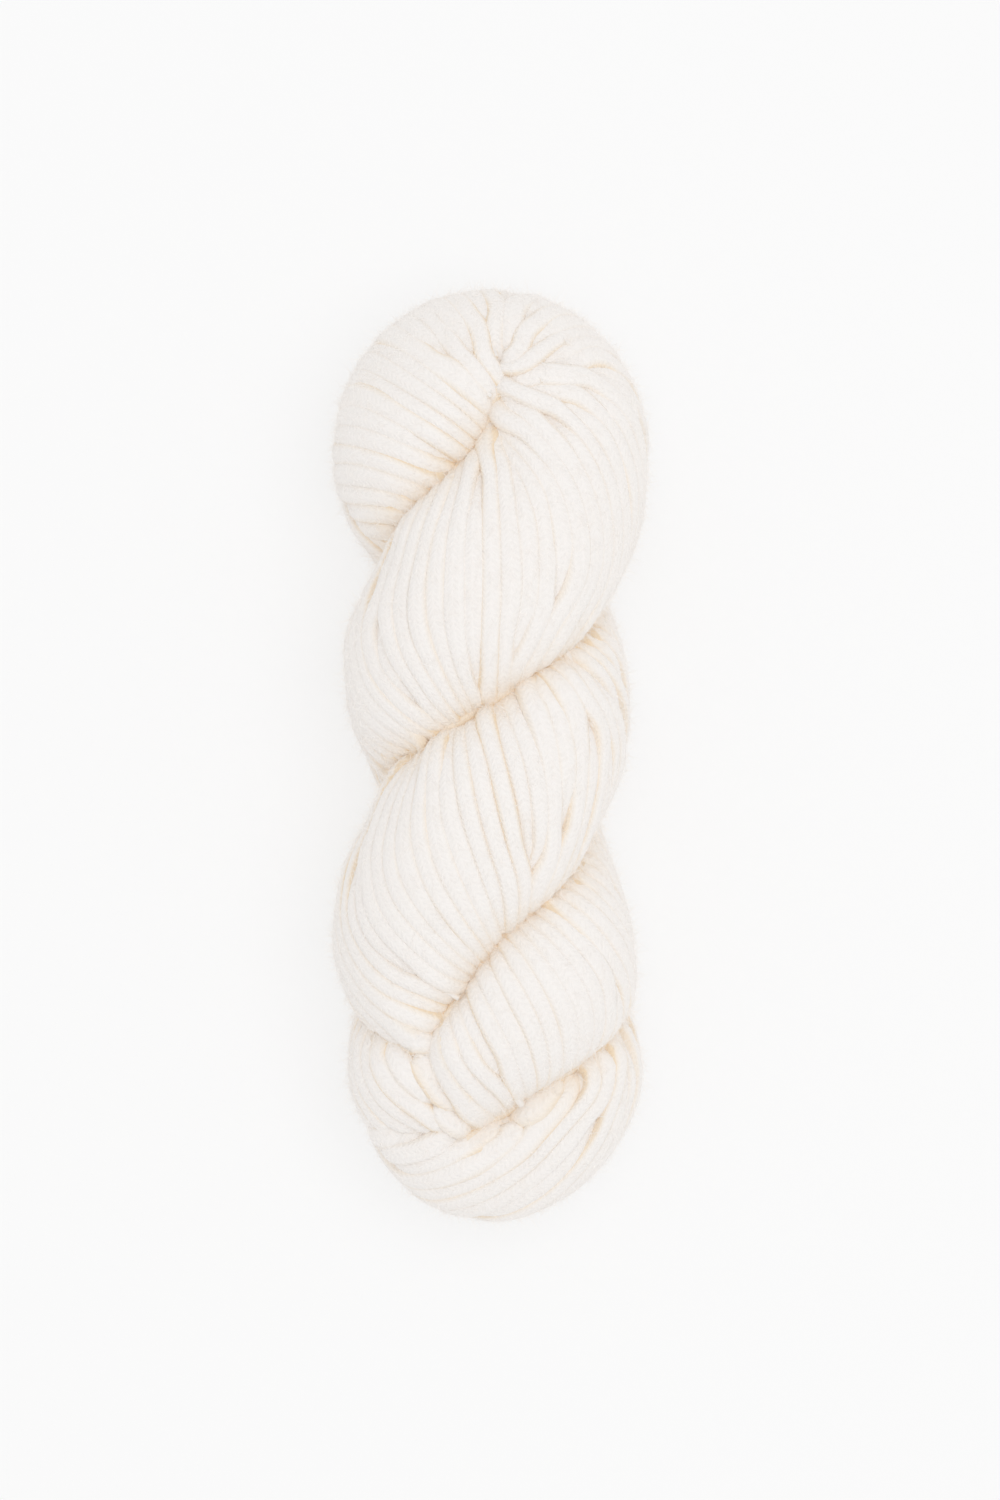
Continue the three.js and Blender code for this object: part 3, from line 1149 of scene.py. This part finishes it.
# %% The wool of the yarn and the wool of its fibres
def wool(name, cream, stitches):
    """A dull, hairy finish, cream outside, with painted shade that turns it tan inside."""
    material = bpy.data.materials.new(name)
    material.use_nodes = True
    tree = material.node_tree
    tree.nodes.clear()
    place = add_node(tree, "ShaderNodeTexCoord").outputs["Object"]
    shader = feed(
        tree, add_node(tree, "ShaderNodeBsdfPrincipled"), Roughness=0.95,
        Specular_IOR_Level=0.15, Sheen_Weight=0.6, Sheen_Roughness=0.5,
        Sheen_Tint=(1.0, 0.97, 0.94, 1.0),
        Base_Color=wool_colour_and_painted_shade(tree, place, cream, stitches),
        Normal=wool_relief(tree, place, stitches))
    feed(tree, add_node(tree, "ShaderNodeOutputMaterial"), Surface=shader.outputs[0])
    return material


knit_wool = wool("knit wool", CREAM, stitches=True)
loose_wool = wool("loose wool", FIBRE_CREAM_PAINTED_PALER, stitches=False)
print("finishes", knit_wool.name, "and", loose_wool.name)

# %% The two layers of yarn
def paths_in(*wanted):
    """The outer strands of some parts of the hank."""
    return [path for path in top_paths if path["part"] in wanted]


LAYERS = (
    ("yarn_loop_half", paths_in("loop_half", "fold"), 12, 1),
    ("yarn_tucked_half", paths_in("tucked_half"), 12, 1),
    ("yarn_end_loop", paths_in("loop", "loop_left", "loop_inside"), 12, 1),
    ("yarn_inner_turns", inner_paths, 8, 2),
)
layers = {}
for name, paths, sides, every in LAYERS:
    layers[name] = run_tree(lines_mesh(name, paths, every), yarn_tree,
                            {"Sides": sides, "Squareness": 0.75, "Finish": knit_wool})

# %% [markdown]
# ## The heart of the hank
#
# Under the turns that show lie many more. They can't be seen, but without them light would
# shine through the gaps. A copy of the solid, drawn in towards its axis, stands for them.

# %% The heart
DRAWN_IN = 13 * MM
AXIS_ENDS_BEFORE = 12
LEAST_SHARE = 0.2

heart_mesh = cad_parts["hank"].data.copy()
heart = bpy.data.objects.new("yarn_heart", heart_mesh)
bpy.context.scene.collection.objects.link(heart)
welded = bmesh.new()
welded.from_mesh(heart_mesh)
bmesh.ops.remove_doubles(welded, verts=welded.verts, dist=1e-6)
for corner in welded.verts:
    middle = min(max(corner.co.y / MM, LOOP_Y + AXIS_ENDS_BEFORE), FOLD_Y - AXIS_ENDS_BEFORE)
    axis = Vector((CENTRE_SHIFT * MM, middle * MM, AXIS_HEIGHT * MM))
    ray = corner.co - axis
    corner.co = axis + ray * max(1 - DRAWN_IN / ray.length, LEAST_SHARE)
welded.to_mesh(heart_mesh)
welded.free()
heart_mesh.materials.clear()
heart_mesh.materials.append(loose_wool)
# painted shade 0.9 colours the heart tan
made = heart_mesh.attributes.new("deep", "FLOAT", "POINT")
made.data.foreach_set("value", [0.9] * len(heart_mesh.vertices))
for face in heart_mesh.polygons:
    face.use_smooth = True
print("heart faces", len(heart_mesh.polygons))

# %% [markdown]
# ## Fuzz and haze
#
# Soft wool is never bare: loose fibres stand off every strand, blur the lines between them
# and give the hank its pale halo. A particle system would be lost in the export, so Geometry
# Nodes scatter small fibres over the outer side of the yarn. Few long bent ones make the
# fuzz, which lies mostly along the strand. Many short straight ones make the haze, which lies
# flat across the grooves and softens them. Both are painted paler than the yarn, for the
# light that single fibres let through.

# %% Two fibres: a long bent one and a short straight one for the haze
def fibre(name, thick, rings, tip):
    """A thin three-sided spike through the rings, each given as x, z and its share of thick."""
    corners = []
    for x, z, share in rings:
        corners += [(x + math.cos(a) * thick * share, math.sin(a) * thick * share, z)
                    for a in (0, math.tau / 3, math.tau * 2 / 3)]
    last = 3 * len(rings) - 3
    sides = [(0, 2, 1)]
    for low in range(0, last, 3):
        sides += [(low + i, low + (i + 1) % 3, low + 3 + (i + 1) % 3, low + 3 + i)
                  for i in range(3)]
    sides += [(last + i, last + (i + 1) % 3, last + 3) for i in range(3)]
    mesh = bpy.data.meshes.new(name)
    mesh.from_pydata(corners + [(tip[0], 0.0, tip[1])], [], sides)
    made = bpy.data.objects.new(name, mesh)
    bpy.context.scene.collection.objects.link(made)
    return made


long_fibre = fibre("long_fibre", 0.010, [(0.0, -0.08, 1.0), (0.10, 0.5, 0.8)], (0.34, 0.95))
short_fibre = fibre("short_fibre", 0.011, [(0.0, -0.1, 1.0)], (0.0, 1.0))
print("faces of a fibre", len(long_fibre.data.polygons), "and", len(short_fibre.data.polygons))

# %% Where the fibres stand: on the outer side, not in the dark, not on the floor
OUTER_SIDE = 0.1
IN_THE_DARK = 0.85
CLEAR_OF_FLOOR = 8.0 * MM

fuzz_tree, entry, leave = new_tree("scatter fuzz", {
    "Fibre": ("NodeSocketObject", None),
    "Fibres a square metre": ("NodeSocketFloat", 100000.0),
    "Shortest": ("NodeSocketFloat", 2.0 * MM),
    "Longest": ("NodeSocketFloat", 6.0 * MM),
    "Along and across": ("NodeSocketVector", (1.5, 0.9, 0.9)),
    "Seed": ("NodeSocketInt", 5),
    "Finish": ("NodeSocketMaterial", None),
})
position = add_node(fuzz_tree, "GeometryNodeInputPosition").outputs[0]
height = feed(fuzz_tree, add_node(fuzz_tree, "ShaderNodeSeparateXYZ"), Vector=position).outputs["Z"]
outer = math_node(fuzz_tree, "GREATER_THAN", named(fuzz_tree, "over"), OUTER_SIDE)
shown = math_node(fuzz_tree, "LESS_THAN", named(fuzz_tree, "deep"), IN_THE_DARK)
clear = math_node(fuzz_tree, "GREATER_THAN", height, CLEAR_OF_FLOOR)
wanted = math_node(fuzz_tree, "MULTIPLY", math_node(fuzz_tree, "MULTIPLY", outer, shown), clear)
points = feed(fuzz_tree, add_node(fuzz_tree, "GeometryNodeDistributePointsOnFaces"),
              Mesh=entry["Geometry"], Selection=wanted, Seed=entry["Seed"],
              Density=entry["Fibres a square metre"])

# %% Which way a fibre points: by chance along, across and away from its strand
least = vector_math(fuzz_tree, "MULTIPLY", entry["Along and across"], (-1.0, -1.0, 0.1))
chance_way = add_node(fuzz_tree, "FunctionNodeRandomValue", data_type="FLOAT_VECTOR")
plug(fuzz_tree, chance_way.inputs[0], least)
plug(fuzz_tree, chance_way.inputs[1], entry["Along and across"])
feed(fuzz_tree, chance_way, Seed=entry["Seed"])
shares = feed(fuzz_tree, add_node(fuzz_tree, "ShaderNodeSeparateXYZ"),
              Vector=chance_way.outputs[0]).outputs
across = named(fuzz_tree, "sideways", "FLOAT_VECTOR")
forward = vector_math(fuzz_tree, "CROSS_PRODUCT", named(fuzz_tree, "up", "FLOAT_VECTOR"), across)
sideways = vector_math(
    fuzz_tree, "ADD", vector_math(fuzz_tree, "SCALE", across, scale=shares["Y"]),
    vector_math(fuzz_tree, "SCALE", points.outputs["Normal"], scale=shares["Z"]))
way = vector_math(
    fuzz_tree, "ADD", vector_math(fuzz_tree, "SCALE", forward, scale=shares["X"]), sideways)

# %% Turn a fibre that way, spin it by chance and set it on its point
aimed = feed(fuzz_tree, add_node(fuzz_tree, "FunctionNodeAlignRotationToVector", axis="Z"),
             Vector=way)
spin = add_node(fuzz_tree, "FunctionNodeRandomValue", data_type="FLOAT_VECTOR")
spin.inputs[1].default_value = (0.0, 0.0, math.tau)
feed(fuzz_tree, spin, Seed=entry["Seed"])
turn = add_node(fuzz_tree, "FunctionNodeEulerToRotation")
plug(fuzz_tree, turn.inputs[0], spin.outputs[0])
turned = add_node(fuzz_tree, "FunctionNodeRotateRotation", rotation_space="LOCAL")
plug(fuzz_tree, turned.inputs[0], aimed.outputs[0])
plug(fuzz_tree, turned.inputs[1], turn.outputs[0])
size = add_node(fuzz_tree, "FunctionNodeRandomValue", data_type="FLOAT")
plug(fuzz_tree, size.inputs[2], entry["Shortest"])
plug(fuzz_tree, size.inputs[3], entry["Longest"])
model = feed(fuzz_tree, add_node(fuzz_tree, "GeometryNodeObjectInfo"), Object=entry["Fibre"])
placed = feed(fuzz_tree, add_node(fuzz_tree, "GeometryNodeInstanceOnPoints"),
              Points=points.outputs["Points"], Instance=model.outputs["Geometry"],
              Rotation=turned.outputs[0], Scale=size.outputs[1])
end_tree(fuzz_tree, placed.outputs[0], entry, leave)

# %% Scatter fuzz and haze over the outer yarn
FIRST_SEED = 5
KINDS = (
    ("fuzz", long_fibre, 220000.0, 2.5, 6.5, (1.5, 0.9, 0.9)),
    ("haze", short_fibre, 750000.0, 1.8, 3.8, (0.8, 1.0, 0.35)),
)
fuzz = []
for kind, model, count, shortest, longest, spread in KINDS:
    for number, name in enumerate(("yarn_loop_half", "yarn_tucked_half", "yarn_end_loop")):
        piece = bpy.data.objects.new(name.replace("yarn", kind), layers[name].data.copy())
        bpy.context.scene.collection.objects.link(piece)
        fuzz.append(run_tree(piece, fuzz_tree, {
            "Fibre": model, "Fibres a square metre": count, "Shortest": shortest * MM,
            "Longest": longest * MM, "Along and across": spread,
            "Seed": FIRST_SEED + number, "Finish": loose_wool}))
for model in (long_fibre, short_fibre):
    bpy.data.objects.remove(model)

# %% [markdown]
# The solid is one soft body, so every piece rides on it and stands for it.

# %% The pieces stand for the solid and ride on the body
for piece in list(layers.values()) + fuzz + [heart]:
    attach(piece, "root")
    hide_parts("hank")
print("pieces", len(layers) + len(fuzz) + 1)

# %% [markdown]
# ## Floor, light and camera
#
# The hank lies on a bright, pale table that fades into its background, with one soft shadow
# close round it. A floor lit to that brightness would need so much light that the yarn would
# look flat. So the floor is a mid grey that gives off some light of its own: what it gives
# off sets how pale it is, and its grey sets how dark the shadow gets.

# %% Floor
FLOOR_GREY = 0.38
FLOOR_GLOW = 0.558

bpy.ops.mesh.primitive_plane_add(size=8.0, location=(0, 0, 0))
floor = bpy.context.object
floor.name = "floor"
paper = bpy.data.materials.new("pale paper")
paper.use_nodes = True
feed(paper.node_tree, paper.node_tree.nodes["Principled BSDF"], Roughness=0.9,
     Base_Color=(FLOOR_GREY, FLOOR_GREY, FLOOR_GREY, 1),
     Emission_Color=(1.0, 1.0, 1.0, 1), Emission_Strength=FLOOR_GLOW)
floor.data.materials.append(paper)
floor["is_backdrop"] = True
print("floor grey", FLOOR_GREY, "and its own light", FLOOR_GLOW)

# %% [markdown]
# A pale room lights the hank from all sides, and one large window adds a gentle direction.
# Inside wool light is passed on from fibre to fibre. More bounces than usual let it do that
# in the creases, which are warm there and not black.

# %% Light
world = bpy.data.worlds.new("pale room")
bpy.context.scene.world = world
world.use_nodes = True
feed(world.node_tree, world.node_tree.nodes["Background"], Color=(1.0, 1.0, 1.0, 1),
     Strength=0.84)
window_data = bpy.data.lights.new("soft window", "AREA")
window_data.shape = "SQUARE"
window_data.size = 1.6
window_data.energy = 10.0
soft_window = bpy.data.objects.new("soft window", window_data)
soft_window.location = (0.35, 0.1, 2.05)
to_hank = Vector((0, 0, 0)) - soft_window.location
soft_window.rotation_euler = to_hank.to_track_quat("-Z", "Y").to_euler()
bpy.context.scene.collection.objects.link(soft_window)
bpy.context.scene.view_settings.view_transform = "Standard"
bpy.context.scene.cycles.diffuse_bounces = 10
print("window", round(window_data.size, 2), "m wide,", round(to_hank.length, 2), "m away")

# %% [markdown]
# The camera hangs straight above the hank and looks down with a long lens, so the hank's
# sides hardly show.

# %% Camera
HANK_MIDDLE = 0.035
CAMERA_ABOVE = 1.3

camera_data = bpy.data.cameras.new("camera")
camera_data.lens = 111.9
camera_data.sensor_width = 36.0
camera = bpy.data.objects.new("camera", camera_data)
camera.location = (0.0029, 0.0015, HANK_MIDDLE + CAMERA_ABOVE)
bpy.context.scene.collection.objects.link(camera)
bpy.context.scene.camera = camera
print("camera", CAMERA_ABOVE, "m above the hank, lens", round(camera_data.lens, 1), "mm")

# %% Sizes
model_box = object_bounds()
for name, box in (("solid", cad_box), ("model", model_box)):
    print(name, [[round(v / MM, 1) for v in corner] for corner in box])
print("seconds", round(time.time() - started, 1))
